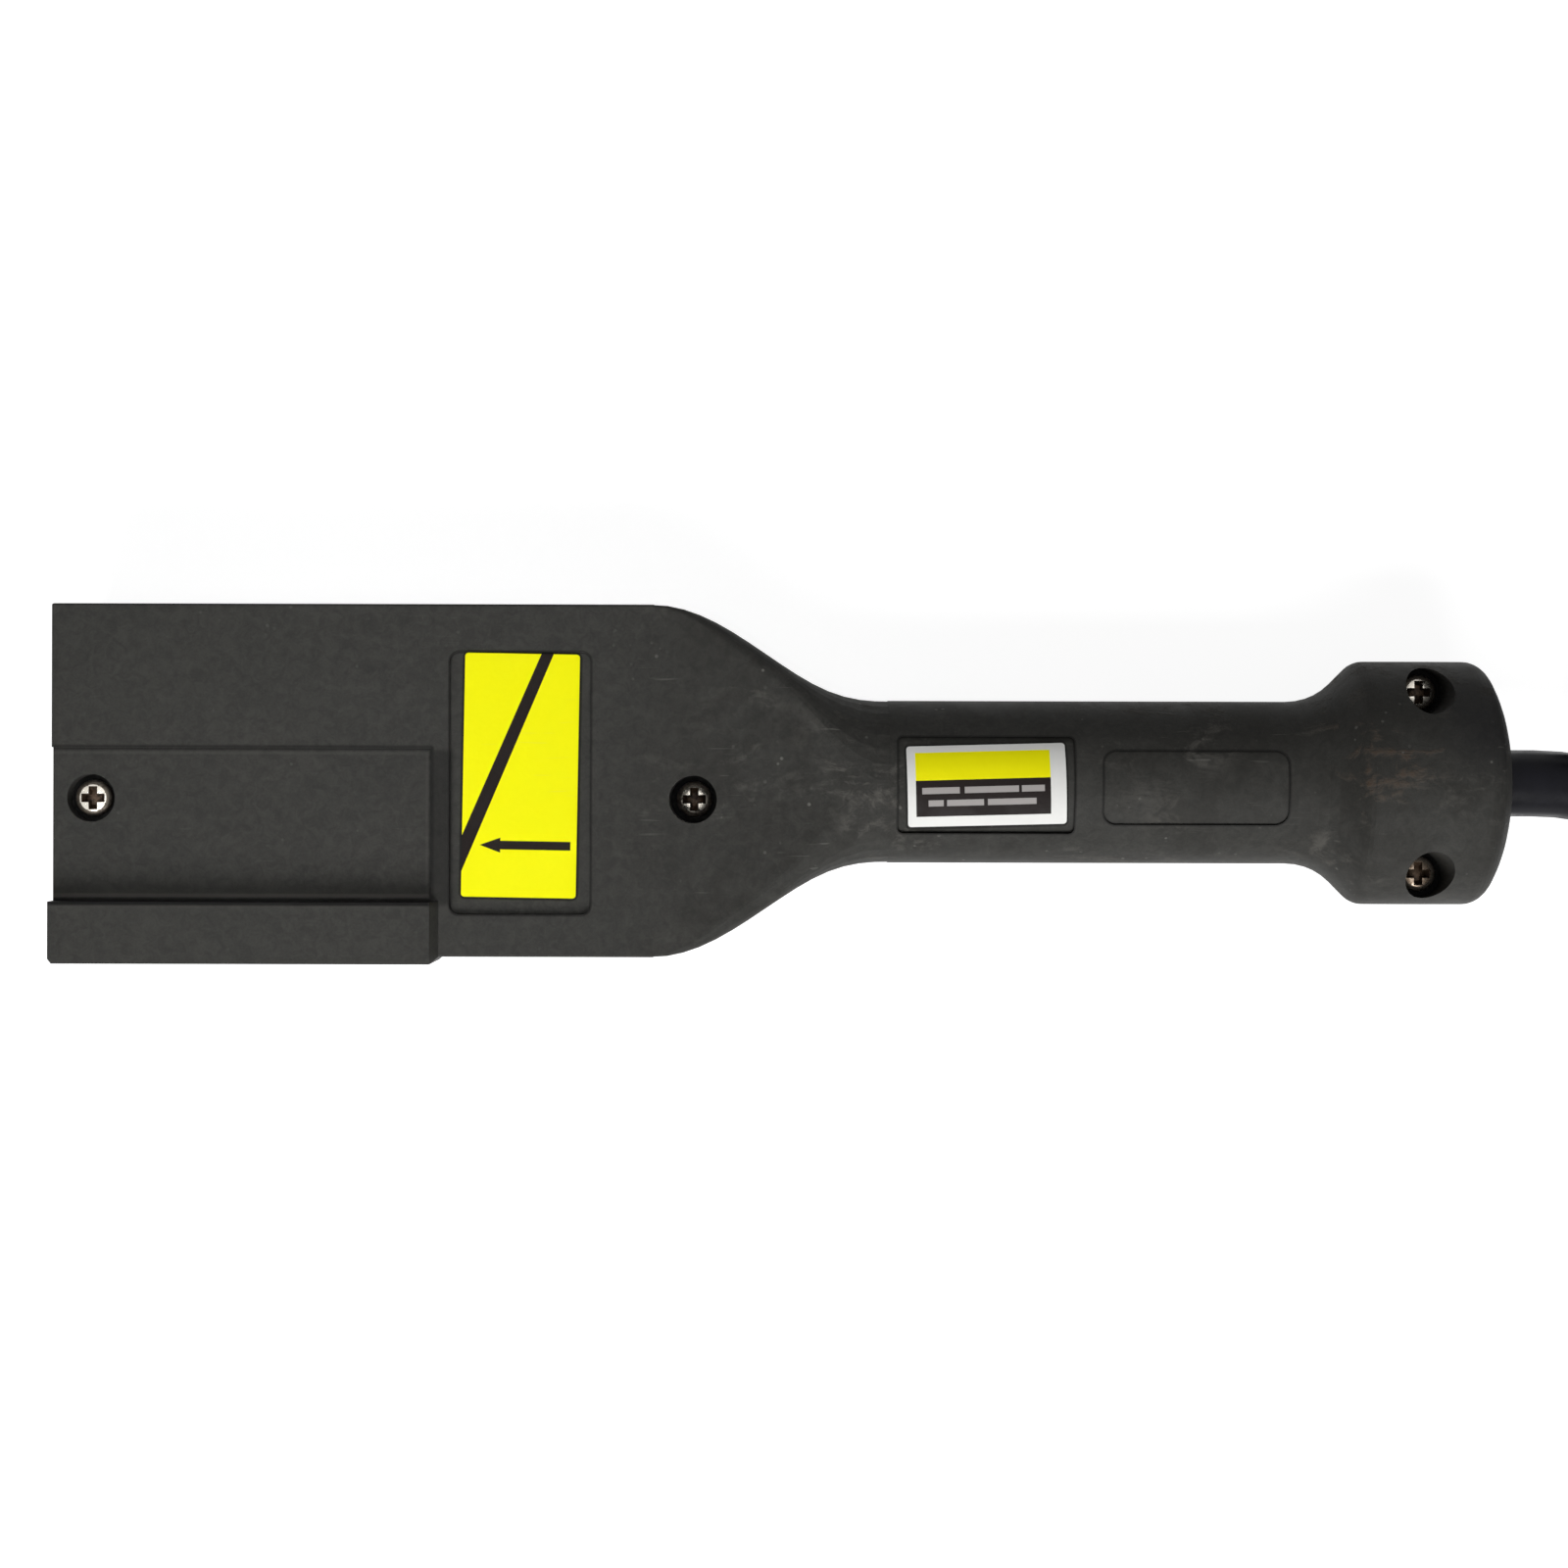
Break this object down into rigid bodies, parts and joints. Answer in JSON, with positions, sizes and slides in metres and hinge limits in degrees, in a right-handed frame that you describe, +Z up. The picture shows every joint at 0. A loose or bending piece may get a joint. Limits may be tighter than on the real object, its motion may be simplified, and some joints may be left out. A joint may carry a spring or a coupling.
{
  "type": "charging cord",
  "caption": "Flat-nosed clamshell plug handle on a round black cord, for plugging a battery vehicle into its charger; the far end has crimped terminals.",
  "frame": {"origin": "middle of the handle's length and width, on the surface that the handle lies on", "axes": "+X from the nose to the cord, +Z up out of the labelled face, +Y away from the rail"},
  "size_m": [0.5945, 0.1118, 0.0445],
  "materials": {
    "handle_plastic": "moulded charcoal plastic, faintly mottled",
    "plated_screw": "plated steel",
    "contact_copper": "formed copper strip",
    "contact_brass": "formed brass strip",
    "white_insulation": "conductor insulation",
    "black_insulation": "conductor insulation",
    "green_insulation": "conductor insulation",
    "cord_jacket": "smooth black jacket with a soft sheen",
    "yellow_label": "printed film",
    "white_label": "printed film",
    "tie_webbing": "woven strap",
    "shrink_sleeve": "shrunk tubing",
    "tinned_terminal": "tinned copper"
  },
  "bodies": {
    "root": {"upper_shell": "handle_plastic", "lower_shell": "handle_plastic", "nose_screw": "plated_screw", "neck_screw": "plated_screw", "left_clamp_screw": "plated_screw", "right_clamp_screw": "plated_screw", "positive_contact": "contact_copper", "negative_contact": "contact_copper", "sense_contact": "contact_brass", "positive_lead": "white_insulation", "negative_lead": "black_insulation", "sense_lead": "green_insulation", "jacket_end": "cord_jacket", "engagement_label": "yellow_label", "plate_label": "white_label", "cord": "cord_jacket", "cord_hank": "cord_jacket", "hank_ties": "tie_webbing", "cord_tail": "cord_jacket", "breakout_sleeve": "shrink_sleeve", "far_positive_lead": "white_insulation", "far_negative_lead": "black_insulation", "far_sense_lead": "green_insulation", "positive_ring": "tinned_terminal", "negative_ring": "tinned_terminal", "sense_tab": "contact_brass"}
  },
  "joints": []
}
